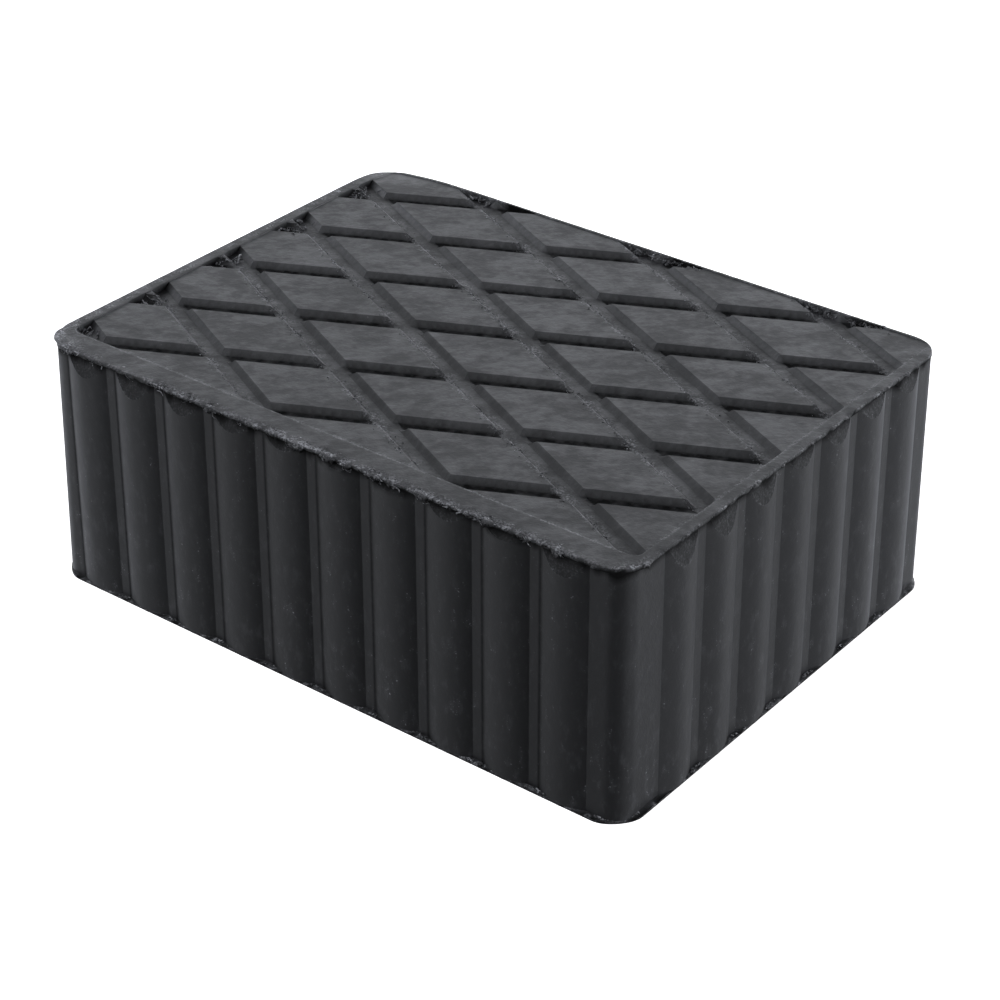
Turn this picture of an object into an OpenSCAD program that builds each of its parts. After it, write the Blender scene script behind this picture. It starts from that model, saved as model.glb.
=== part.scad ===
// Ribbed rubber lift pad with a diamond tread.
// One moulded block: X runs along the long side, Y along the short side, Z up from the floor.

/* [Block] */
// Length over the rib crests of the two short faces
block_length = 160; // [130:5:240]
// Width over the rib crests of the two long faces
block_width = 120; // [100:5:180]
// Height from the floor to the flat border of the tread
block_height = 60; // [30:5:120]
// Corner radius of the core between the ribs
core_corner_radius = 4.4; // [2:0.1:9]

/* [Side ribs] */
// Ribs on each long face
long_face_ribs = 10; // [4:1:12]
// Ribs on each short face
short_face_ribs = 7; // [3:1:9]
// How far a rib crest stands out of the core
rib_height = 1.4; // [0.8:0.1:2.4]
// Flat strip of core left between two ribs
valley_width = 2.7; // [1:0.1:4]
// Plain core at the left end of a long face, from the crest plane
long_face_left_end = 8.5; // [6:0.1:14]
// Plain core at the right end of a long face
long_face_right_end = 9.8; // [6:0.1:14]
// Plain core at the front end of a short face
short_face_front_end = 14.5; // [8:0.1:18]
// Plain core at the back end of a short face
short_face_back_end = 9.6; // [6:0.1:14]

/* [Top rim] */
// Rubber left in the rim under the floors of the grooves
rim_skin = 0.2; // [0.1:0.1:3]
// How far the rim edge lies behind the rib crests
rim_setback = 0.6; // [0.2:0.1:0.7]
// Corner radius of the rim
rim_corner_radius = 7; // [3:0.5:12]
// Height of the upright rim edge above the knife trims
rim_edge_height = 0.5; // [0.3:0.1:1.5]
// Height of the sloped knife trim on each rib, below that edge
trim_height = 4.5; // [1:0.5:8]

/* [Foot web] */
// Thickness of the flash web that fills the valleys at the floor
web_thickness = 0.5; // [0.3:0.1:2]
// How far the web edge lies behind the rib crests
web_setback = 0.1; // [0.1:0.1:0.7]
// Corner radius of the web
web_corner_radius = 8.5; // [3:0.5:12]

/* [Tread] */
// Flat border along the front of the tread
border_front = 6.9; // [3:0.1:10]
// Flat border along the back of the tread
border_back = 0.8; // [0.5:0.1:10]
// Flat border at the left of the tread
border_left = 3.1; // [1:0.1:10]
// Flat border at the right of the tread
border_right = 2.6; // [0.5:0.1:10]
// Corner radius of the tread field
field_corner_radius = 2; // [1:0.5:6]
// How far the tread field lies below its border
field_sink = 0.3; // [0.1:0.1:1]
// Depth of the diamond grooves below the tread field
groove_depth = 1.3; // [0.5:0.1:2.5]
// Width of a groove at its mouth
groove_mouth = 5; // [4:0.2:8]
// Width of a groove at its floor
groove_floor = 2.8; // [1:0.2:3.6]
// Angle between a groove and the long side
groove_angle = 26.2; // [20:0.1:45]
// Distance between two parallel grooves, square to them
groove_pitch = 21.5; // [16:0.5:40]
// Groove crossing nearest the middle, towards the right
crossing_x = 4.5; // [-10:0.1:10]
// Groove crossing nearest the middle, towards the back
crossing_y = 7.5; // [-10:0.1:10]

/* [Hidden] */
$fn = 96;

core_length = block_length - 2 * rib_height;
core_width = block_width - 2 * rib_height;
rim_length = block_length - 2 * rim_setback;
rim_width = block_width - 2 * rim_setback;

field_length = rim_length - border_left - border_right;
field_width = rim_width - border_front - border_back;
field_x = (border_left - border_right) / 2;
field_y = (border_front - border_back) / 2;
field_level = block_height - field_sink;
field_diagonal = norm([field_length, field_width]);
groove_count = ceil(field_diagonal / 2 / groove_pitch) + 1;
groove_level = field_level - groove_depth;

rim_underside = groove_level - rim_skin;
trim_top = block_height - rim_edge_height;
trim_foot = trim_top - trim_height;

long_rib_span = block_length - long_face_left_end - long_face_right_end;
long_rib_width = (long_rib_span - (long_face_ribs - 1) * valley_width) / long_face_ribs;
short_rib_span = block_width - short_face_front_end - short_face_back_end;
short_rib_width = (short_rib_span - (short_face_ribs - 1) * valley_width) / short_face_ribs;

// How far a rib is rooted in the core, and how far a cut runs past the surface it opens
rib_root = 1;
cut_over = 1;

module rounded_rectangle(length, width, radius) {
  square([length - 2 * radius, width], center = true);
  square([length, width - 2 * radius], center = true);
  for (x = [-1, 1], y = [-1, 1])
    translate([x * (length / 2 - radius), y * (width / 2 - radius)])
      circle(r = radius);
}

// Section of one rib: a shallow arc with its chord on the core plane and its crest towards -Y.
// Behind the chord it runs on inside the core, as deep as its root.
module rib_section(width) {
  arc_radius = (width * width / 4 + rib_height * rib_height) / (2 * rib_height);
  intersection() {
    translate([0, arc_radius - rib_height])
      circle(r = arc_radius);
    translate([-arc_radius, -rib_height - cut_over])
      square([2 * arc_radius, rib_height + cut_over + rib_root]);
  }
}

// Row of ribs along X from the given start, standing out towards -Y
module rib_row(start, count, width) {
  for (i = [0 : count - 1])
    translate([start + width / 2 + i * (width + valley_width), 0])
      rib_section(width);
}

module long_face_section() {
  translate([0, -core_width / 2])
    rib_row(-block_length / 2 + long_face_left_end, long_face_ribs, long_rib_width);
}

module short_face_section() {
  translate([core_length / 2, 0])
    rotate(90)
      rib_row(-block_width / 2 + short_face_front_end, short_face_ribs, short_rib_width);
}

module ribs() {
  linear_extrude(height = trim_top) {
    long_face_section();
    mirror([0, 1]) long_face_section();
    short_face_section();
    mirror([1, 0]) short_face_section();
  }
}

module core() {
  linear_extrude(height = block_height)
    rounded_rectangle(core_length, core_width, core_corner_radius);
}

module rim() {
  translate([0, 0, rim_underside])
    linear_extrude(height = block_height - rim_underside)
      rounded_rectangle(rim_length, rim_width, rim_corner_radius);
}

// Thin flat web round the foot, cut straight along the crests
module foot_web() {
  linear_extrude(height = web_thickness)
    rounded_rectangle(
      block_length - 2 * web_setback, block_width - 2 * web_setback, web_corner_radius
    );
}

// Wedge that a knife takes off the rib tops of the face towards -Y, from the rim edge to the crest
module trim_wedge(length, half_width) {
  slope = rim_setback / trim_height;
  translate([-length / 2, -half_width, 0])
    rotate([90, 0, 90])
      linear_extrude(height = length)
        polygon([
          [-cut_over, trim_foot - cut_over / slope],
          [rim_setback, trim_top],
          [rim_setback, block_height + cut_over],
          [-cut_over, block_height + cut_over]
        ]);
}

module trimmed_ribs() {
  difference() {
    ribs();
    trim_wedge(block_length + 2 * cut_over, block_width / 2);
    rotate(180) trim_wedge(block_length + 2 * cut_over, block_width / 2);
    rotate(90) trim_wedge(block_width + 2 * cut_over, block_length / 2);
    rotate(-90) trim_wedge(block_width + 2 * cut_over, block_length / 2);
  }
}

module field_prism(bottom) {
  translate([field_x, field_y, bottom])
    linear_extrude(height = block_height + cut_over - bottom)
      rounded_rectangle(field_length, field_width, field_corner_radius);
}

// One groove along X through the origin, with sloped walls that run on past the field level
module groove() {
  wall_run = (groove_mouth - groove_floor) / 2;
  over_run = wall_run * (groove_depth + cut_over) / groove_depth;
  translate([-field_diagonal, 0, groove_level])
    rotate([90, 0, 90])
      linear_extrude(height = 2 * field_diagonal)
        polygon([
          [-groove_floor / 2, 0],
          [groove_floor / 2, 0],
          [groove_floor / 2 + over_run, groove_depth + cut_over],
          [-groove_floor / 2 - over_run, groove_depth + cut_over]
        ]);
}

module groove_family(angle) {
  translate([crossing_x, crossing_y, 0])
    rotate(angle)
      for (i = [-groove_count : groove_count])
        translate([0, i * groove_pitch, 0])
          groove();
}

module tread_cut() {
  field_prism(field_level);
  intersection() {
    field_prism(groove_level - cut_over);
    groove_family(groove_angle);
  }
  intersection() {
    field_prism(groove_level - cut_over);
    groove_family(-groove_angle);
  }
}

module rubber_block() {
  color("dimgray")
    difference() {
      union() {
        core();
        trimmed_ribs();
        rim();
        foot_web();
      }
      tread_cut();
    }
}

rubber_block();
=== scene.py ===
# Ribbed rubber lift pad with a diamond tread, standing on a pale studio floor.
# Lengths are in millimetres until a piece is finished, and then in metres.
# X runs along the long side, Y along the short side, Z up from the floor.

import math
import random

import bmesh
import bpy
import numpy as np
from mathutils import Matrix, Vector, noise


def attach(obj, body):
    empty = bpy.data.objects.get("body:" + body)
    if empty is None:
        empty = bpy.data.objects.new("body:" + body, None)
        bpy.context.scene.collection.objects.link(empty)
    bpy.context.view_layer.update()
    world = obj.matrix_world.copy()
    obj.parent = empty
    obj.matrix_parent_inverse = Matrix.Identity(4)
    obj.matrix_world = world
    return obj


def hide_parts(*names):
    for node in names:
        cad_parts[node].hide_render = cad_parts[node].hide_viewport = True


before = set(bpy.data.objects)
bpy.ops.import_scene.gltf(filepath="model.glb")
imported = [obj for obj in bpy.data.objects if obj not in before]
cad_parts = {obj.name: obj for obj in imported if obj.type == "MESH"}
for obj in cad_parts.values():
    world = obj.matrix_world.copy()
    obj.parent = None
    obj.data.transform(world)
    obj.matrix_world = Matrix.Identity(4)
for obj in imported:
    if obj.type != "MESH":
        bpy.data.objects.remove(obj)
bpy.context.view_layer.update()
scene = bpy.context.scene


class Shade:
    """One output of a shader node. Sums and products of it add Math nodes."""

    tree = None

    def __init__(self, socket):
        self.socket = socket

    @classmethod
    def node(cls, kind, settings, values, output=0):
        """Adds any node: its settings, then its inputs by name or number, as values or links."""
        made = cls.tree.nodes.new(kind)
        for name, value in settings.items():
            setattr(made, name, value)
        for key, value in values.items():
            if isinstance(value, Shade):
                cls.tree.links.new(value.socket, made.inputs[key])
            else:
                made.inputs[key].default_value = value
        return cls(made.outputs[output])

    @classmethod
    def math(cls, operation, *values):
        return cls.node("ShaderNodeMath", {"operation": operation}, dict(enumerate(values)))

    def __add__(self, other):
        return self.math("ADD", self, other)

    def __sub__(self, other):
        return self.math("SUBTRACT", self, other)

    def __rsub__(self, other):
        return self.math("SUBTRACT", other, self)

    def __mul__(self, other):
        return self.math("MULTIPLY", self, other)

    __radd__ = __add__
    __rmul__ = __mul__

    def rise(self, low, high):
        """0 below low and 1 above high, smooth between them."""
        values = {"Value": self, "From Min": low, "From Max": high}
        return self.node("ShaderNodeMapRange", {"interpolation_type": "SMOOTHSTEP"}, values)


# ---- Rubber ----
# Black moulding rubber with a dull sheen. The top is mottled and rubbed, the sides carry dust,
# pale specks and a painted highlight on the flanks of the ribs towards their far ends. Torn or
# sliced rubber is rougher than the skin. A dark layer paints shade into corners, creases, grooves
# and under the rim, with some dirt.
millimetre = 0.001
rub_turn = math.radians(38)

# Grey levels of the bare skin, and what dust, rubbing, scuffs, painted highlights, specks and
# tears add
skin_tone, dust_tone, top_tone, mottle_tone = 0.017, 0.01, 0.002, 0.03
scuff_tone, highlight_tone, film_tone = 0.035, 0.1, 0.012
spark_tone, chip_tone, fray_tone = 0.2, 0.022, 0.42
slice_shade = 0.4
cool = (0.985, 1.0, 1.05)

skin_roughness, mottle_polish, grain_roughness, torn_roughness = 0.5, 0.15, 0.08, 0.25
grain_relief, pit_relief, slice_relief, rub_relief, torn_relief = 0.05, 0.1, 0.3, 0.2, 0.3
relief_strength = 0.55
# Tone, grain, roughness and shine of the dark layer that paints shade, with some dirt
shade_and_dirt_tone, shade_and_dirt_grain, shade_and_dirt_roughness, shade_and_dirt_shine = 0.003, 0.006, 0.9, 0.12

rubber = bpy.data.materials.new("rubber")
rubber.use_nodes = True
Shade.tree = rubber.node_tree
surface = rubber.node_tree.nodes["Principled BSDF"]


def spot(stretch, turn=0.0, shift=0.0):
    """Object coordinates in millimetres, turned about Z, stretched and shifted."""
    place = Shade.node("ShaderNodeTexCoord", {}, {}, output="Object")
    settings = {"vector_type": "TEXTURE"}
    scale = [millimetre * k for k in stretch]
    values = {"Vector": place, "Rotation": (0, 0, turn), "Scale": scale}
    turned = Shade.node("ShaderNodeMapping", settings, values)
    return Shade.node("ShaderNodeVectorMath", {"operation": "ADD"}, {0: turned, 1: (shift,) * 3})


def cloud(vector, detail=2.0, rough=0.5):
    """Smooth noise around 0.5, one cell to each unit of the vector."""
    values = {"Vector": vector, "Scale": 1.0, "Detail": detail, "Roughness": rough}
    return Shade.node("ShaderNodeTexNoise", {}, values)


def noted(name):
    """A value that the mesh carries, 0 where it has none."""
    return Shade.node("ShaderNodeAttribute", {"attribute_name": name}, {}, output="Fac")


def part(vector, name):
    """The X, Y or Z of a vector."""
    return Shade.node("ShaderNodeSeparateXYZ", {}, {"Vector": vector}, output=name)


def tinted(levels):
    """A colour from its red, green and blue."""
    return Shade.node("ShaderNodeCombineColor", {}, dict(enumerate(levels)))


# Where the rubber faces and lies
place = spot(stretch=(1, 1, 1))
height = part(place, "Z")
facing = Shade.node("ShaderNodeNewGeometry", {}, {}, output="Normal")
upward = part(facing, "Z").rise(0.5, 0.9)
sideways = 1 - upward
turned_away = (math.sqrt(0.5) * (part(facing, "Y") - part(facing, "X"))).rise(-0.75, -0.3)
far_end = part(place, "X").rise(-15, -78) + part(place, "Y").rise(-5, 56)

# Patterns, each by the size of its cells, and the values that the mesh carries
blotches = cloud(spot(stretch=(9, 6, 9), turn=rub_turn), detail=1)
rubbed = cloud(spot(stretch=(3.1, 2.1, 3), turn=rub_turn, shift=7), detail=3, rough=0.7)
dust = cloud(spot(stretch=(2.2, 2.2, 5), shift=31), detail=3, rough=0.7)
grain = cloud(spot(stretch=(0.5, 0.5, 0.5), shift=43), detail=2, rough=0.65)
pitted = cloud(spot(stretch=(1.6, 1.6, 1.6), shift=57), detail=2, rough=0.6)
strokes = cloud(spot(stretch=(3.2, 0.6, 3), turn=rub_turn, shift=71), detail=2, rough=0.6)
torn = noted("torn")
sliced = noted("sliced")
shade_and_grime = noted("shade_and_grime")

# How much of each finish lies at a place
mottle = (0.45 * blotches + 0.55 * rubbed).rise(0.38, 0.64)
dusty = dust.rise(0.5, 0.72) * (1.6 - 0.9 * height.rise(5, 45))
sparks = sideways * grain.rise(0.62, 0.72) * (0.06 + 1.3 * dusty * blotches.rise(0.4, 0.6))
# Painted highlight on the rib flanks that face away from the front right corner, towards the far
# ends of the faces in view, flecked by the dust
painted_highlight = sideways * far_end * (0.13 + turned_away) * (0.55 + 0.9 * dust)
scuffed = upward * strokes.rise(0.6, 0.72) * blotches.rise(0.42, 0.62)
clotted = 0.25 + 1.3 * pitted.rise(0.42, 0.6)
frayed = torn * (0.3 * torn + clotted * grain.rise(0.42, 0.58))
chipped = sliced * grain.rise(0.45, 0.65)

tone = skin_tone + dust_tone * dust + upward * (mottle_tone * mottle + top_tone)
tone = tone + scuff_tone * scuffed + highlight_tone * painted_highlight
tone = (tone + film_tone * sideways * dusty) * (1 - slice_shade * sliced)
tone = tone + spark_tone * sparks + chip_tone * chipped + fray_tone * frayed
colour = tinted(share * tone for share in cool)
rubber.node_tree.links.new(colour.socket, surface.inputs["Base Color"])
sheen = skin_roughness - mottle_polish * mottle * upward + grain_roughness * grain
sheen = sheen + torn_roughness * (torn + sliced)
rubber.node_tree.links.new(sheen.socket, surface.inputs["Roughness"])
relief = grain_relief * grain + (pit_relief + slice_relief * sliced) * pitted
relief = relief + rub_relief * upward * rubbed + torn_relief * torn * grain
bump_values = {"Height": relief, "Strength": relief_strength, "Distance": millimetre}
bumps = Shade.node("ShaderNodeBump", {}, bump_values)
rubber.node_tree.links.new(bumps.socket, surface.inputs["Normal"])

# The dark layer is mixed in where the mesh carries painted shade and grime
shade_and_dirt_values = {
    "Base Color": tinted([shade_and_dirt_tone + shade_and_dirt_grain * grain] * 3),
    "Roughness": shade_and_dirt_roughness,
    "Specular IOR Level": shade_and_dirt_shine,
}
shade_and_dirt = Shade.node("ShaderNodeBsdfPrincipled", {}, shade_and_dirt_values)
shaded_and_soiled = shade_and_grime * (0.7 + 0.6 * pitted)
layers = {0: shaded_and_soiled, 1: Shade(surface.outputs[0]), 2: shade_and_dirt}
covered = Shade.node("ShaderNodeMixShader", {}, layers)
finish = rubber.node_tree.nodes["Material Output"]
rubber.node_tree.links.new(covered.socket, finish.inputs["Surface"])


# ---- Block ----
# One moulding of black rubber: a core with convex ribs down its sides, a thin rim that the
# mould left round the top, a web of flash round the foot, and diamond grooves sunk in a
# shallow field on the top. A knife trimmed the rim and sliced the tops of the ribs.
block_height = 60.0
crest_half_length, crest_half_width = 80.0, 60.0
rim_setback = 0.6
rim_half_length = crest_half_length - rim_setback
rim_half_width = crest_half_width - rim_setback
rim_radius = 7.0
rim = (-rim_half_length, rim_half_length, -rim_half_width, rim_half_width, rim_radius)
rim_rounding = 0.25
seen_underside, hidden_underside = 59.0, 58.2
corner_x = rim_half_length - rim_radius
corner_y = rim_half_width - rim_radius
core_setback = 0.8
core_radius = 4.4

rib_height = 1.3999
valley_width = 2.7
valley_lines = (0, 1.0, 2.0, 2.45)
crease_width = 0.4
long_ribs = (-71.5, 70.2, 10)
short_ribs = (-45.5, 50.4, 7)

# Level to which the knife sliced each rib of the two faces in view, from left to right
front_trims = (54.6, 54.2, 55.2, 56.1, 56.9, 57.7, 57.7, 56.4, 57.2, 54.5)
right_trims = (53.2, 53.2, 53.6, 55.6, 54.8, 54.8, 54.8)
hidden_trim = 55.0
# The slice starts behind the rim's edge and slopes out by this depth on the way down
trim_top = 59.0
trim_start = -0.5
trim_depth = 1.1
facet_fray = 0.14
slice_cell, slice_wave = 1.3, 0.05

field = (-76.3, 76.8, -52.5, 58.6, 2.0)
field_left, field_right, field_front, field_back, field_radius = field
field_sink = 0.3
groove_depth = 1.3
groove_half_mouth = 2.5
groove_angle = math.radians(26.2)
groove_pitch = 21.5
groove_count = 4
crossing = Vector((4.5, 7.5))
# Section of a groove and of the step round the field: how far down at some distances
groove_reach, groove_fall = (1.3, 1.4, 2.45, 2.55), (1.0, 0.94, 0.05, 0.0)
step_reach, step_fall = (-0.2, 0.0, 0.12), (0.0, 0.2, 1.0)

# How torn the front edge of the rim is, at some places along it
torn_places = (
    -79, -68, -65, -56, -47, -44, -39, -34, -14, -11, -4, 4, 20, 27, 30, 36, 44, 50,
    54, 58, 62, 70, 75, 79,
)
torn_shares = (
    0.8, 0.7, 0.4, 0.2, 0.3, 0.9, 0.9, 0.6, 0.6, 1, 1, 0.75, 0.75, 0.55, 1, 0.9, 0.75, 0.6,
    0.6, 0.85, 0.5, 0.2, 0.15, 0.5,
)
side_tear, back_tear = 0.25, 0.1
wear_depth, wear_fall = 2.4, 0.45

# The back left corner has sagged: by how much, where, and how far round that place
slump_depth, slump_place, slump_spread, slump_floor = 1.25, (-78, 59), (11, 7), 45

# Painted shade on the floors of the rising grooves, less where the falling ones cross them, and
# crumbled rubber across the falling ones
groove_shade_reach, groove_shade_cover = (-2.5, -2.3, 1.1, 1.7), (0, 1, 0.9, 0)
crossing_half_width, crossing_shade_share = 2.4, 0.12
crumb_reach, crumb_cover = (-3.4, -2.6, -0.8, 1), (0, 0.5, 0.375, 0)
# Painted shade, with some dirt, in the ends of the grooves at the left border: its run and
# strength
end_run, end_shade_and_dirt = 4, 0.75
# Scuffs round the two front corners: place, radius and strength
corner_scuffs = ((-79, -59, 13, 1.3), (78, -57, 5, 0.35))
# A pale line painted along the step at the front and right of the field as its highlight, and its
# reach
step_highlight, step_highlight_reach = 0.2, 0.22
# How torn the top is along the rim's edge, and how far inwards, on the right and elsewhere
right_fray, front_fray = (0.35, 1), (0.8, 2.3)
most_torn = 0.8

rib_steps, corner_steps = 12, 8
plain_step = 1.1
field_margin, groove_margin = 0.6, 2


def clamp(value, most=1):
    """A value held between 0 and the most that it may be."""
    return min(most, max(0, value))


def ramp(value, places, levels):
    """The level at a value, on straight runs between some places."""
    return float(np.interp(value, places, levels))


def waver(x, y, cell, layer, middle=0.0, swing=1.0):
    """A level that wanders smoothly over the plan. Each use has a layer of its own."""
    return middle + swing * noise.noise(Vector((x / cell, y / cell, layer)))


def rib_feet(start, end, count):
    """Places of the two feet of every rib in a row."""
    pitch = (end - start + valley_width) / count
    return [(start + i * pitch, start + (i + 1) * pitch - valley_width) for i in range(count)]


def grid_lines(corner, half, ribs):
    """Grid lines over one direction of the top, with a line at every rib foot."""
    feet = rib_feet(*ribs)

    def even(here, there, steps):
        return [here + (there - here) * k / steps for k in range(steps)]

    lines = even(-half, -corner, corner_steps)
    lines += even(-corner, feet[0][0], math.ceil((feet[0][0] + corner) / plain_step))
    for left, right in feet:
        lines += even(left, right, rib_steps)
        lines += [right + line for line in valley_lines]
    lines = lines[: -len(valley_lines)]
    end = feet[-1][1]
    lines += even(end, corner, math.ceil((corner - end) / plain_step))
    return lines + even(corner, half, corner_steps) + [half]


def inset(x, y, left, right, front, back, radius):
    """How far a place lies inside the edge of a rounded rectangle."""
    middle_x, middle_y = (left + right) / 2, (front + back) / 2
    dx = abs(x - middle_x) - (right - middle_x) + radius
    dy = abs(y - middle_y) - (back - middle_y) + radius
    return radius - math.hypot(max(dx, 0), max(dy, 0)) - min(max(dx, dy), 0)


def groove_side(x, y, angle):
    """Signed distance from the centre line of the nearest groove of one family."""
    across = (y - crossing.y) * math.cos(angle) - (x - crossing.x) * math.sin(angle)
    return across - groove_pitch * round(across / groove_pitch)


def top_level(x, y):
    """Height of the top: border, sunk field and grooves."""
    within = inset(x, y, *field)
    fall = field_sink * ramp(within, step_reach, step_fall)
    if within > 0:
        near = min(abs(groove_side(x, y, turn)) for turn in (groove_angle, -groove_angle))
        depth = groove_depth * ramp(near, groove_reach, groove_fall)
        fall += depth * min(within / step_reach[-1], 1)
    return block_height - fall


def tear(x, y):
    """How torn the rim is at a place on its edge."""
    if y < -corner_y:
        clumps = waver(x, 0, cell=2.7, layer=3, middle=0.85, swing=0.8)
        return ramp(x, torn_places, torn_shares) * clumps
    if x < corner_x:
        return back_tear
    return side_tear + max(0, waver(0, y, cell=3.1, layer=3, swing=0.8))


def wear(x, y):
    """How far the top has been torn down towards the rim's edge."""
    ragged = waver(x, y, cell=2.3, layer=4, middle=0.8, swing=0.9)
    near_edge = max(0, 1 - inset(x, y, *rim) / wear_depth)
    return wear_fall * tear(x, y) * ragged * near_edge**1.4


def slump(x, y):
    """How far the corner at the back left has sagged."""
    across, along = ((at - mid) / run for at, mid, run in zip((x, y), slump_place, slump_spread))
    return slump_depth * math.exp(-(across**2) - along**2)


def cut(bm, faces, place, direction):
    """Adds an edge along a plane through some faces, and returns its edges."""
    verts = dict.fromkeys(v for f in faces for v in f.verts)
    edges = dict.fromkeys(e for f in faces for e in f.edges)
    made = bmesh.ops.bisect_plane(
        bm,
        geom=[*verts, *edges, *faces],
        dist=0.01,
        plane_co=place,
        plane_no=direction,
    )
    return [g for g in made["geom_cut"] if isinstance(g, bmesh.types.BMEdge)]


def to_metres(bm):
    """Scales a piece from millimetres to metres, with its faces pointing outwards."""
    bmesh.ops.recalc_face_normals(bm, faces=bm.faces)
    bmesh.ops.scale(bm, vec=(millimetre,) * 3, verts=bm.verts)


def finished(name, bm, material):
    """Puts a finished mesh into the scene as an object of one material."""
    mesh = bpy.data.meshes.new(name)
    bm.to_mesh(mesh)
    bm.free()
    piece = bpy.data.objects.new(name, mesh)
    scene.collection.objects.link(piece)
    mesh.materials.append(material)
    return piece


bm = bmesh.new()
torn_layer = bm.verts.layers.float.new("torn")
shade_and_grime_layer = bm.verts.layers.float.new("shade_and_grime")
sliced_layer = bm.faces.layers.float.new("sliced")
x_lines = grid_lines(corner_x, rim_half_length - rim_rounding, long_ribs)
y_lines = grid_lines(corner_y, rim_half_width - rim_rounding, short_ribs)
bmesh.ops.create_grid(bm, x_segments=len(x_lines) - 1, y_segments=len(y_lines) - 1, size=1)
for v in bm.verts:
    x = x_lines[round((v.co.x + 1) / 2 * (len(x_lines) - 1))]
    y = y_lines[round((v.co.y + 1) / 2 * (len(y_lines) - 1))]
    a, b = abs(x) - corner_x, abs(y) - corner_y
    if a > 0 and b > 0:
        turn = math.pi / 4 * b / a if a >= b else math.pi / 2 - math.pi / 4 * a / b
        reach = max(a, b)
        x = math.copysign(corner_x + reach * math.cos(turn), x)
        y = math.copysign(corner_y + reach * math.sin(turn), y)
    v.co = (x, y, 0)

# Edges along the step round the field and round its corners
for reach in step_reach:
    for place, direction in (
        ((field_left + reach, 0, 0), (1, 0, 0)),
        ((field_right - reach, 0, 0), (1, 0, 0)),
        ((0, field_front + reach, 0), (0, 1, 0)),
        ((0, field_back - reach, 0), (0, 1, 0)),
    ):
        near = [f for f in bm.faces if inset(*f.calc_center_median().xy, *field) > -field_margin]
        cut(bm, near, place, direction)
    for sx, sy in ((-1, -1), (-1, 1), (1, -1), (1, 1)):
        centre = Vector((
            (field_left + field_radius) if sx < 0 else (field_right - field_radius),
            (field_front + field_radius) if sy < 0 else (field_back - field_radius),
            0,
        ))
        for eighth in (1, 3, 5, 7):
            turn = math.pi / 2 * eighth / 8
            out = Vector((sx * math.cos(turn), sy * math.sin(turn), 0))
            near = [
                f for f in bm.faces
                if (f.calc_center_median() - centre).length < field_radius + 1
                and (f.calc_center_median() - centre).dot(out) > field_radius * 0.9
            ]
            if near:
                cut(bm, near, centre + out * (field_radius - reach), out)

# Edges along the floors and mouths of the grooves
for angle in (groove_angle, -groove_angle):
    across = Vector((-math.sin(angle), math.cos(angle), 0))
    for count in range(-groove_count, groove_count + 1):
        for reach in (*groove_reach, *(-r for r in groove_reach)):
            place = crossing.to_3d() + across * (count * groove_pitch + reach)
            near = [
                f for f in bm.faces
                if abs((f.calc_center_median() - place).dot(across)) < groove_margin
                and inset(*f.calc_center_median().xy, *field) > 0
            ]
            if near:
                cut(bm, near, place, across)

# The grooves that rise to the right get painted shade on their floors, and pale crumbs lie along
# the front edges of the others. The rim is scuffed round its two front corners.
for v in bm.verts:
    x, y = v.co.xy
    within, depth = inset(x, y, *field), inset(x, y, *rim)
    if within > 0:
        rising, falling = groove_side(x, y, groove_angle), groove_side(x, y, -groove_angle)
        # Painted shade on the floor of each rising groove, less where a falling groove crosses it
        groove_shade = waver(x, y, cell=2.2, layer=6, middle=0.95, swing=0.5)
        v[shade_and_grime_layer] = groove_shade * ramp(rising, groove_shade_reach, groove_shade_cover)
        if abs(falling) < crossing_half_width:
            v[shade_and_grime_layer] *= crossing_shade_share
        crumbly = max(0.2, waver(x, y, cell=6, layer=2, middle=0.35))
        v[torn_layer] = crumbly * ramp(falling, crumb_reach, crumb_cover)
        # Painted shade, with some dirt, in the groove ends near the left border
        if min(abs(rising), abs(falling)) < groove_half_mouth:
            at_left = max(0, 1 - (x - field_left) / end_run)
            v[shade_and_grime_layer] = max(v[shade_and_grime_layer], end_shade_and_dirt * min(1, 1.5 * at_left))
    patch = 0
    for scuff_x, scuff_y, radius, strength in corner_scuffs:
        patch += strength * max(0, 1 - math.hypot(x - scuff_x, y - scuff_y) / radius)
    patch *= waver(x, y, cell=1.7, layer=8, middle=0.9, swing=1.2)
    # Painted highlight along the step's edge at the front and right of the field
    if abs(within) < step_highlight_reach and (y < field_front + 1 or x > field_right - 1):
        v[torn_layer] = max(v[torn_layer], step_highlight)
    # Pale scuffs on the left border. Along the back edge they are partly a painted highlight on
    # its rounding.
    if x < field_left - 0.5 or y > field_back - 0.1:
        scuffs_and_highlight = waver(x, y, cell=2, layer=4, middle=0.15, swing=0.5)
        v[torn_layer] = max(v[torn_layer], scuffs_and_highlight)
    fray, fray_depth = right_fray if x > corner_x and y > 3 - corner_y else front_fray
    at_edge = max(0, 1 - depth / fray_depth) * (fray * tear(x, y) + patch)
    v[torn_layer] = min(most_torn, v[torn_layer] + 0.3 * patch + at_edge)
    v.co.z = top_level(x, y) - wear(x, y)


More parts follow.
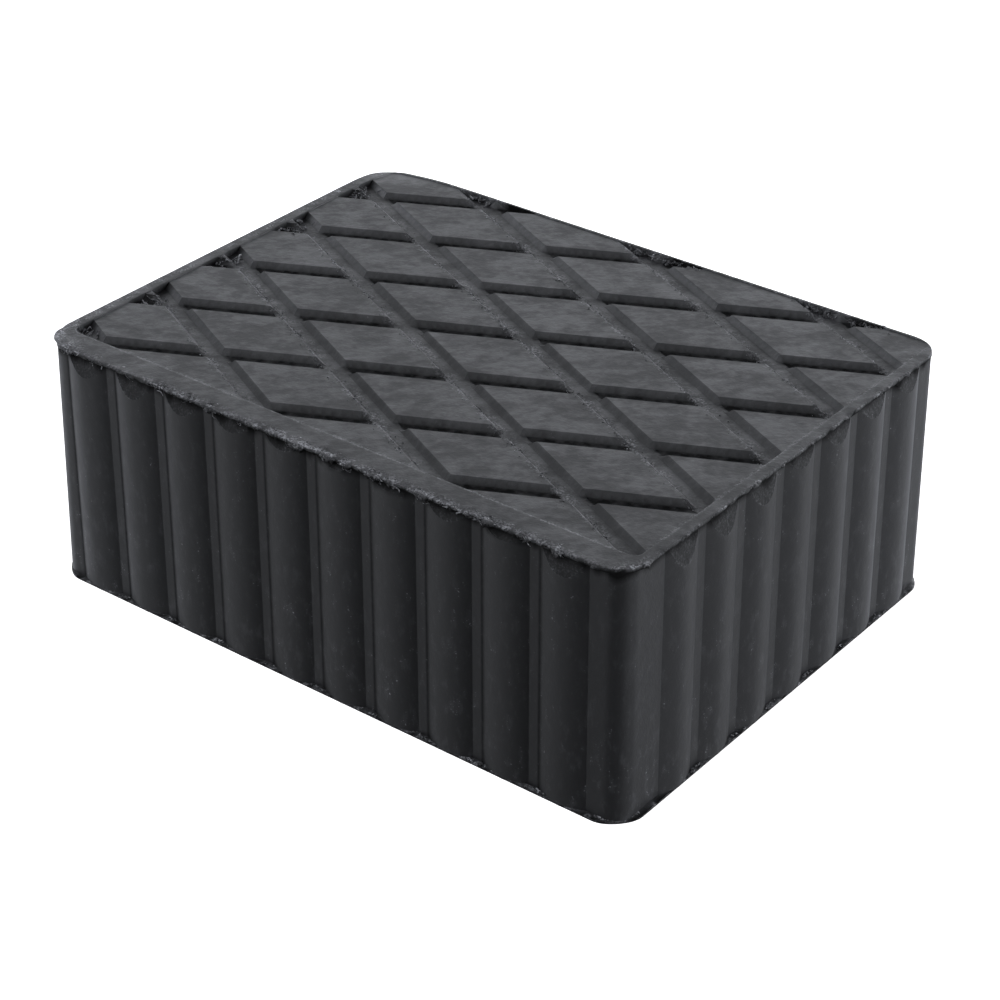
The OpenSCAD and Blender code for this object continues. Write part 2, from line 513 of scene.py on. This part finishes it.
def outline(x, y):
    """The foot of a place on the rim's edge and the way out.

    Then how far the side stands out from that foot, and the knife's level on a rib."""
    a, b = abs(x) - corner_x, abs(y) - corner_y
    if a > 0 and b > 0:
        out = Vector((math.copysign(a, x), math.copysign(b, y))).normalized()
        corner = Vector((math.copysign(corner_x, x), math.copysign(corner_y, y)))
        base = corner + rim_radius * out
        flat = rim_radius - core_setback
        spread = flat - core_radius
        most, least = max(abs(out.x), abs(out.y)), min(abs(out.x), abs(out.y))
        if least / most < spread / flat:
            return base, out, flat / most - rim_radius, 0
        arc = math.sqrt(core_radius**2 - (spread * (most - least)) ** 2)
        return base, out, spread * (most + least) + arc - rim_radius, 0
    if b > 0:
        out = Vector((0, math.copysign(1, y)))
        base, along, ribs = Vector((x, out.y * rim_half_width)), x, long_ribs
        trims = front_trims if y < 0 else None
    else:
        out = Vector((math.copysign(1, x), 0))
        base, along, ribs = Vector((out.x * rim_half_length, y)), y, short_ribs
        trims = right_trims if x > 0 else None
    for i, (left, right) in enumerate(rib_feet(*ribs)):
        if left < along < right:
            half = (right - left) / 2
            arc = (half**2 + rib_height**2) / (2 * rib_height)
            stand = math.sqrt(arc**2 - (along - left - half) ** 2) - arc + rib_height
            return base, out, stand - core_setback, trims[i] if trims else hidden_trim
    return base, out, -core_setback, 0


def crease(x, out):
    """1 in the fine crease at the left foot of each rib of the front face, and 0 elsewhere."""
    if out.y > -0.5:
        return 0
    return float(any(-crease_width < x - left < 0.02 for left, _ in rib_feet(*long_ribs)))


# Each ring goes down from the top's edge: its kind, its level and its reach from the rim's
# edge. The level is a share of the rim's thickness on the rim, how far below the rim under
# it, and a height above the floor further down.
side_levels = (52.4, 50, 46, 41, 36, 31, 26, 21, 16, 11, 7, 4, 2.4, 1.4, 0.9, 0.62)
ring_levels = (
    [("rim", level, -0.05 if level < 0.2 else 0) for level in (0.1, 0.3, 0.5, 0.75, 0.96)]
    + [("rim", 1, -0.06)]
    + [("top", 0.04 + 0.38 * k, 0) for k in range(15)]
    + [("side", level, 0) for level in side_levels]
    + [("web", 0.5, 0.4), ("web", 0.4, 0.57), ("web", 0.12, 0.58), ("web", 0, 0.56)]
)
# The web is drawn in at its corners. The front left corner leans inwards towards the top.
corner_pull = 0.415
corner_wear = 0.9
# How pale the rim's torn edge is, and how dark the painted shade in the front ribs' creases is
rim_fray, crease_shade = 0.9, 0.6
seen_fade, hidden_fade = 0.55, 0.8
edges = [e for e in bm.edges if e.is_boundary]
for kind, level, reach in ring_levels:
    made = bmesh.ops.extrude_edge_only(bm, edges=edges)["geom"]
    edges = [g for g in made if isinstance(g, bmesh.types.BMEdge) and g.is_boundary]
    for v in (g for g in made if isinstance(g, bmesh.types.BMVert)):
        base, out, offset, trim = outline(v.co.x, v.co.y)
        seen = math.hypot(max(out.x, 0), max(-out.y, 0))
        at_corner = (2 * out.x * out.y) ** 2
        worn = corner_wear * at_corner if base.x < 0 and base.y < 0 else 0
        underside = hidden_underside + (seen_underside - hidden_underside) * seen
        v[torn_layer] = 0
        # Painted shade in the crease at the left foot of each front rib
        v[shade_and_grime_layer] = crease_shade * crease(v.co.x, out)
        z = level
        if kind == "rim":
            lip = block_height - wear(base.x, base.y)
            z = lip + (underside - lip) * level
            offset = reach
            v[torn_layer] = rim_fray * tear(base.x, base.y) * (1 - level)
            # Ragged painted shadow along the lower part of the rim, on the faces in view and most
            # on the right
            uneven = waver(base.x, base.y, cell=1.9, layer=15)
            v[shade_and_grime_layer] = seen * clamp(1.5 * (level - 0.45) + 1.6 * uneven + 0.35 * out.x)
        elif kind == "top":
            z = underside - level
            gap = waver(base.x, base.y, cell=2.6, layer=12, middle=1.1, swing=0.9)
            shadow = gap - (seen_fade if seen else hidden_fade) * level
            v[shade_and_grime_layer] = max(v[shade_and_grime_layer], min(1, shadow))
        elif kind == "web":
            edge_reach = reach - corner_pull * at_corner
            crumbled = waver(v.co.x, v.co.y, cell=1.5, layer=9)
            if offset < edge_reach and level > 0.2:
                # Pale crumbs of torn web, darkened between them as painted shade in the crevices
                v[torn_layer] = max(0, 0.25 + 0.8 * crumbled)
                v[shade_and_grime_layer] = clamp(0.6 - 1.4 * crumbled)
                z += 0.2 * crumbled
            offset = max(offset, edge_reach)
        plan = base + out * (offset - worn * z / block_height)
        v.co = (plan.x, plan.y, z)
bmesh.ops.contextual_create(bm, geom=edges)


def slice_reach(level, trim):
    """How far the knife's plane lies out from the rim's edge at a level of one rib."""
    return trim_start + trim_depth * (trim_top - level) / (trim_top - trim)


# The knife cut each rib in a plane from under the rim to a level on the crest, and frayed the
# edges of its slice. The fray is drawn rib by rib in the order of the places.
chance = random.Random(5)
rib_tops = {}
for f in bm.faces:
    middle = f.calc_center_median()
    base, out, offset, trim = outline(middle.x, middle.y)
    outside = (middle.xy - base).dot(out) > -core_setback - 0.1
    if trim and trim - 1 < middle.z < trim_top and outside:
        side = (round(out.x), round(out.y))
        row = short_ribs if side[0] else long_ribs
        along = middle.y if side[0] else middle.x
        number = sum(along > right for _, right in rib_feet(*row))
        rib_tops.setdefault((side, number, trim), []).append(f)
for (side, number, trim), faces in sorted(rib_tops.items(), key=lambda rib: rib[0]):
    out = Vector((*side, 0))
    edge = Vector((side[0] * rim_half_length, side[1] * rim_half_width, trim_top))
    slope = out * (trim_top - trim) + Vector((0, 0, trim_depth))
    sliced_edges = cut(bm, faces, edge + trim_start * out, slope)
    for e in sorted(sliced_edges, key=lambda e: tuple(e.verts[0].co + e.verts[1].co)):
        e.smooth = False
        for v in sorted(e.verts, key=lambda v: tuple(v.co)):
            v[torn_layer] = max(v[torn_layer], chance.uniform(0, facet_fray))
for v in bm.verts:
    base, out, offset, trim = outline(v.co.x, v.co.y)
    stands = (v.co.xy - base).dot(out)
    if trim and trim < v.co.z < trim_top - 0.001 and stands > -core_setback - 0.1:
        sliced_to = slice_reach(v.co.z, trim)
        if stands > sliced_to:
            rough = slice_wave * noise.noise(Vector([c * slice_cell for c in v.co]))
            v.co.xy = base + out * (sliced_to + min(rough, 0))
bm.normal_update()
for f in bm.faces:
    middle = f.calc_center_median()
    base, out, offset, trim = outline(middle.x, middle.y)
    if trim and trim < middle.z < trim_top:
        sliced_to = slice_reach(middle.z, trim)
        on_plane = abs((middle.xy - base).dot(out) - sliced_to) < 0.07
        if on_plane and offset > sliced_to + 0.01:
            f[sliced_layer] = 1

for v in bm.verts:
    top_share = max(0, (v.co.z - slump_floor) / (block_height - slump_floor))
    v.co.z -= slump(v.co.x, v.co.y) * top_share**2
to_metres(bm)
sharp_angle = math.radians(23)
for e in bm.edges:
    if e.calc_face_angle(0) > sharp_angle:
        e.smooth = False
for f in bm.faces:
    f.smooth = True
block = finished("block", bm, rubber)
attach(block, "root")
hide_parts("rubber_block")

# ---- Torn rim ----
# Ragged lip of rubber that the knife tore along the front edge of the rim and round its corner.
# A sleeve with a closed flat section follows the edge and is roughened all round.
lip_start, lip_end = -72.5, 50.0
lip_steps, lip_round = 1000, 12
lip_level, lip_setback = 59.6, 0.2
lip_width, lip_thickness = 0.8, 0.75
side_share = 0.8
lip_paleness = 0.45
box_play = 0.01
corner_arc = math.pi / 2 * rim_radius
front_run = corner_x - lip_start
lip_run = front_run + corner_arc + lip_end + corner_y


def along_rim(run):
    """Place on the rim's edge after a run from its left end, and the way out."""
    if run < front_run:
        return Vector((lip_start + run, -rim_half_width, 0)), Vector((0, -1, 0))
    turn = (run - front_run) / rim_radius
    if turn < math.pi / 2:
        out = Vector((math.sin(turn), -math.cos(turn), 0))
        return Vector((corner_x, -corner_y, 0)) + rim_radius * out, out
    return Vector((rim_half_length, run - front_run - corner_arc - corner_y, 0)), Vector((1, 0, 0))


def lip_noise(run, pace, layer=0.0, radius=0.0, around=0.0):
    """Smooth noise around 0 along the rim, and round the lip where it has a radius."""
    outwards, upwards = radius * math.cos(around), radius * math.sin(around)
    return noise.noise(Vector((run * pace, outwards, upwards + layer)))


def clump_at(run):
    """Gathers the torn rubber in clumps along the rim."""
    return lip_noise(run, pace=0.24, layer=17)


def inside_block(place):
    """Keeps a place inside the block's overall box."""
    most_y = crest_half_width - box_play
    place.x = min(place.x, crest_half_length - box_play)
    place.y = min(max(place.y, -most_y), most_y)
    place.z = min(place.z, block_height - box_play)
    return place


bm = bmesh.new()
torn_layer = bm.verts.layers.float.new("torn")
shade_and_grime_layer = bm.verts.layers.float.new("shade_and_grime")
bmesh.ops.create_grid(bm, x_segments=lip_steps, y_segments=lip_round, size=1)
for v in bm.verts:
    share, around = (v.co.x + 1) / 2, math.pi * (v.co.y + 1)
    run, flat, steep = share * lip_run, math.cos(around), math.sin(around)
    edge, out = along_rim(run)
    torn_here = tear(edge.x, edge.y)
    ragged = lip_noise(run, pace=0.9, radius=0.8, around=around)
    fine = lip_noise(run, pace=2.6, radius=2, around=around, layer=5)
    sway = lip_noise(run, pace=0.35, layer=7)
    clump = clump_at(run)
    at_side = side_share if out.x > 0.3 else 1
    size = at_side * (0.15 + 1.0 * torn_here)
    size *= max(0.12, 0.45 + 2.7 * clump) + 0.9 * ragged + 0.9 * fine
    size *= min(1, 200 * share * (1 - share))
    reach = 0.6 * sway * torn_here + lip_width * size * flat - lip_setback
    level = lip_level - (0.45 - 0.8 * sway) * torn_here + lip_thickness * size * steep
    v.co = inside_block(edge + reach * out + Vector((0, 0, level)))
    # The lip's top is painted paler as a highlight and its underside darker as painted shade, over
    # its own pale clumps
    pale_and_highlight = 0.1 + 1.5 * clump + 0.9 * fine + 0.5 * steep
    v[torn_layer] = clamp(0.8 * at_side * torn_here * pale_and_highlight, most=lip_paleness)
    v[shade_and_grime_layer] = clamp(0.5 - clump - 0.9 * fine - 0.8 * steep)
bmesh.ops.remove_doubles(bm, verts=bm.verts, dist=0.0005)
to_metres(bm)
for f in bm.faces:
    f.smooth = True
torn_rim = finished("torn_rim", bm, rubber)
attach(torn_rim, "root")

# ---- Fibres ----
# Pale shreds of rubber that hang from the torn lip and lie in the ends of some grooves.
# Each is a thin tapered sliver, curled along its length. They lie in clumps.
chance = random.Random(11)
fibre_count = 2600
fibre_length, fibre_thickness = (0.8, 3.4), (0.07, 0.14)
fibre_flatness = 0.6
fibre_reach, fibre_levels = (-2.2, 0.35), (58.7, 59.9)
top_start, fibre_floor = -0.7, 59.5
tear_power = 1.3
# Groove ends that hold shreds, at the left border and along the back edge
nests = [(-73.5, 42.5), (-73.5, 18), (-73.5, -6.5), (-73.5, -31), (-73, -52)]
nests += [(x, 58) for x in (-49, -1, 3, 13, 16, 49, 60, 64.5)]
nest_count = 14
nest_length, nest_thickness = (1, 3), (0.1, 0.3)
nest_levels, lump_size, lump_depth = (58.8, 59.4), (0.25, 0.6), 0.3


def drawn(count, reach):
    """A vector of random numbers, each from minus the reach to the reach."""
    return Vector([chance.uniform(-reach, reach) for _ in range(count)])


def lay_fibre(bm, place, way, length, thickness, paleness):
    """Adds one bent sliver at a place, pointing the given way."""
    turned = Vector((0, 0, 1)).rotation_difference(way).to_matrix().to_4x4()
    section = Matrix.Diagonal((thickness, fibre_flatness * thickness, length / 2, 1))
    made = bmesh.ops.create_uvsphere(
        bm, u_segments=5, v_segments=8, radius=1,
        matrix=Matrix.Translation(place) @ turned @ section,
    )
    bend = drawn(3, 1)
    curl = drawn(3, 0.3)
    for v in made["verts"]:
        along = (v.co - place).dot(way) / length
        v.co = inside_block(v.co + length * (bend * along**2 + curl * math.sin(6 * along)))
        v[torn_layer] = paleness


def drop_crumb(bm, place, size, paleness):
    """Adds one squashed and roughened ball at a place."""
    turned = Matrix.Rotation(chance.uniform(0, math.pi), 4, "Z")
    section = Matrix.Diagonal((chance.uniform(0.8, 2.2), 0.8, 0.7, 1))
    made = bmesh.ops.create_icosphere(
        bm, subdivisions=1, radius=size, matrix=Matrix.Translation(place) @ turned @ section
    )
    for v in made["verts"]:
        v.co = inside_block(v.co + size * drawn(3, 0.3))
        v[torn_layer] = paleness


bm = bmesh.new()
torn_layer = bm.verts.layers.float.new("torn")
for _ in range(fibre_count):
    run = chance.uniform(0, lip_run)
    edge, out = along_rim(run)
    gathered = 0.38 + 2.4 * clump_at(run)
    if out.x > 0.3 or chance.random() > gathered * tear(edge.x, edge.y) ** tear_power:
        continue
    along = Vector((-out.y, out.x, 0))
    way = along * chance.choice((-1, 1)) + out * chance.uniform(-0.5, 0.5)
    way = (way + Vector((0, 0, chance.uniform(-0.9, 0.3)))).normalized()
    place = edge + out * chance.uniform(*fibre_reach)
    place += Vector((0, 0, chance.uniform(*fibre_levels)))
    if (place - edge).dot(out) < top_start:
        place.z = max(place.z, fibre_floor)
    thickness = fibre_thickness[0] + fibre_thickness[1] * chance.random() ** 2
    length = chance.uniform(*fibre_length)
    lay_fibre(bm, place, way, length, thickness, chance.uniform(0.3, 1))

for x, y in nests:
    spread_x, spread_y = (2.2, 4.5) if x < field_left + 4 else (4.4, 0.675)
    for _ in range(nest_count):
        shift = (chance.uniform(-spread_x, spread_x), chance.uniform(-spread_y, spread_y))
        place = Vector((x + shift[0], y + shift[1], chance.uniform(*nest_levels)))
        way = Vector((*drawn(2, 1), chance.uniform(-0.2, 0.2))).normalized()
        thickness = nest_thickness[0] + nest_thickness[1] * chance.random() ** 2
        length = chance.uniform(*nest_length)
        lay_fibre(bm, place, way, length, thickness, chance.uniform(0.1, 0.6))
        if chance.random() < 0.5:
            size = chance.uniform(*lump_size)
            drop_crumb(bm, place - Vector((0, 0, lump_depth)), size, chance.uniform(0, 0.3))
to_metres(bm)
fibres = finished("fibres", bm, rubber)
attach(fibres, "root")

# ---- Crumbs ----
# Small pale crumbs of torn rubber on the flash web round the foot of the two faces in view, and
# along the front edges of the grooves that fall to the right. Each is a roughened ball.
crumb_count, fleck_count = 400, 6500
corner_share, front_share = 0.35, 0.8
web_top, web_play = 0.45, 0.35
web_x, web_y = crest_half_length - 0.7, 0.7 - crest_half_width
crumb_spread = 1.6
crumb_size, fleck_size = (0.08, 0.28), (0.06, 0.16)
fleck_place, fleck_spread = 2.1, 0.8

bm = bmesh.new()
torn_layer = bm.verts.layers.float.new("torn")
for _ in range(crumb_count):
    kind = chance.random()
    if kind < corner_share:
        turn = chance.uniform(-math.pi / 2, 0)
        out = Vector((math.cos(turn), math.sin(turn), 0))
        corner = Vector((corner_x, -corner_y, 0))
        place = corner + (rim_radius + chance.uniform(-1.1, -0.3)) * out
    elif kind < front_share:
        feet = rib_feet(*long_ribs)
        number = min(len(feet) - 2, int(len(feet) * chance.random() ** 0.7))
        x = feet[number][1] + valley_width / 2 + chance.gauss(0, crumb_spread)
        place = Vector((x, web_y + chance.uniform(-web_play, web_play), 0))
    else:
        feet = rib_feet(*short_ribs)
        middle = feet[chance.randrange(len(feet) - 1)][1] + valley_width / 2
        x = web_x + chance.uniform(-web_play, web_play)
        place = Vector((x, middle + chance.gauss(0, crumb_spread), 0))
    size = chance.uniform(*crumb_size)
    place.z = web_top + chance.random() * size
    drop_crumb(bm, place, size, chance.uniform(0.3, 1))

# Flecks gather in runs along the front edge of a groove and thin out between them
for _ in range(fleck_count):
    x = chance.uniform(field_left + 1, field_right - 1)
    y = chance.uniform(field_front + 1, field_back - 1)
    side = groove_side(x, y, -groove_angle)
    y -= (side + chance.gauss(fleck_place, fleck_spread)) / math.cos(groove_angle)
    gathered = waver(x, y, cell=5, layer=2, middle=0.35, swing=1.1)
    if inset(x, y, *field) < 1 or chance.random() > gathered:
        continue
    size = fleck_size[0] + fleck_size[1] * chance.random() ** 2
    place = Vector((x, y, top_level(x, y) + 0.3 * size))
    drop_crumb(bm, place, size, chance.uniform(0.1, 0.6))
to_metres(bm)
crumbs = finished("crumbs", bm, rubber)
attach(crumbs, "root")

# ---- Camera ----
# It stands at the photo's angle, with its heading, tilt and lean in radians.
yaw, pitch, roll = 2.23436, 0.48779, -0.00092
camera_place = (0.331803, -0.420980, 0.342186)
lens_length, sensor_width, view_shift = 99.546, 36, -0.15
forward = Vector((
    math.cos(yaw) * math.cos(pitch), math.sin(yaw) * math.cos(pitch), -math.sin(pitch)
))
level_right = Vector((math.sin(yaw), -math.cos(yaw), 0))
level_up = level_right.cross(forward)
right = math.cos(roll) * level_right + math.sin(roll) * level_up
up = math.cos(roll) * level_up - math.sin(roll) * level_right
camera_data = bpy.data.cameras.new("camera")
camera_data.sensor_width = sensor_width
camera_data.lens = lens_length
camera_data.shift_y = view_shift
camera = bpy.data.objects.new("camera", camera_data)
scene.collection.objects.link(camera)
turned = Matrix((right, up, -forward)).transposed().to_4x4()
camera.matrix_world = Matrix.Translation(camera_place) @ turned
scene.camera = camera

# ---- Studio ----
# A white cove that lights nothing itself, soft boxes round the block, some of them below the
# level of the floor as a light table lights it, and a dim room.
cove_size = 12
paper_light, paper_roughness, paper_patch = 1.0, 0.9, 400
paper = bpy.data.materials.new("paper")
paper.use_nodes = True
Shade.tree = paper.node_tree
sheet = paper.node_tree.nodes["Principled BSDF"]
fleck = cloud(spot(stretch=(paper_patch,) * 3), detail=2)
shade_of_paper = Shade.node(
    "ShaderNodeMix", {"data_type": "RGBA"},
    {0: fleck, 6: (0.97, 0.97, 0.97, 1), 7: (0.99, 0.99, 0.99, 1)}, output=2,
)
paper.node_tree.links.new(shade_of_paper.socket, sheet.inputs["Base Color"])
paper.node_tree.links.new(shade_of_paper.socket, sheet.inputs["Emission Color"])
sheet.inputs["Emission Strength"].default_value = paper_light
sheet.inputs["Roughness"].default_value = paper_roughness

bm = bmesh.new()
bmesh.ops.create_cube(bm, size=cove_size)
bmesh.ops.translate(bm, vec=(0, 0, cove_size / 2), verts=bm.verts)
cove = finished("cove", bm, paper)
cove.visible_diffuse = False
cove.visible_glossy = False
cove.visible_shadow = False

# Each soft box: its bearing from the front, its elevation and its power
box_distance = 1.6
box_size = 0.9
light_colour = (0.975, 1.0, 1.06)
aim = Vector((0, 0, 0.03))
soft_boxes = (
    (-150, 35, 2.4), (-150, 8, 2.0), (150, -25, 2.0), (-120, 8, 4.7), (90, 8, 11.4),
    (0, 65, 3.3), (-60, -25, 1.3), (-30, -25, 1.2), (-30, 8, 3.3), (-120, 35, 0.7),
    (150, 8, 9.4), (-60, 35, 2.7), (180, 8, 9.0), (180, 35, 1.7), (-90, 35, 1.4),
    (-30, 35, 1.6), (90, -25, 1.2), (-90, -25, 1.6), (15, 35, 1.2),
)
for bearing, elevation, power in soft_boxes:
    turn, lift = math.radians(bearing), math.radians(elevation)
    flat = math.cos(lift)
    away = Vector((math.sin(turn) * flat, -math.cos(turn) * flat, math.sin(lift)))
    light_data = bpy.data.lights.new("soft_box", "AREA")
    light_data.shape = "DISK"
    light_data.size = box_size
    light_data.energy = power
    light_data.color = light_colour
    light = bpy.data.objects.new("soft_box", light_data)
    scene.collection.objects.link(light)
    light.location = aim + away * box_distance
    light.rotation_mode = "QUATERNION"
    light.rotation_quaternion = (-away).to_track_quat("-Z", "Y")
    light.visible_camera = False

room_light = 0.03
room = bpy.data.worlds.new("room")
room.use_nodes = True
backdrop = room.node_tree.nodes["Background"]
backdrop.inputs["Color"].default_value = (*light_colour, 1)
backdrop.inputs["Strength"].default_value = room_light
scene.world = room
scene.view_settings.view_transform = "Standard"
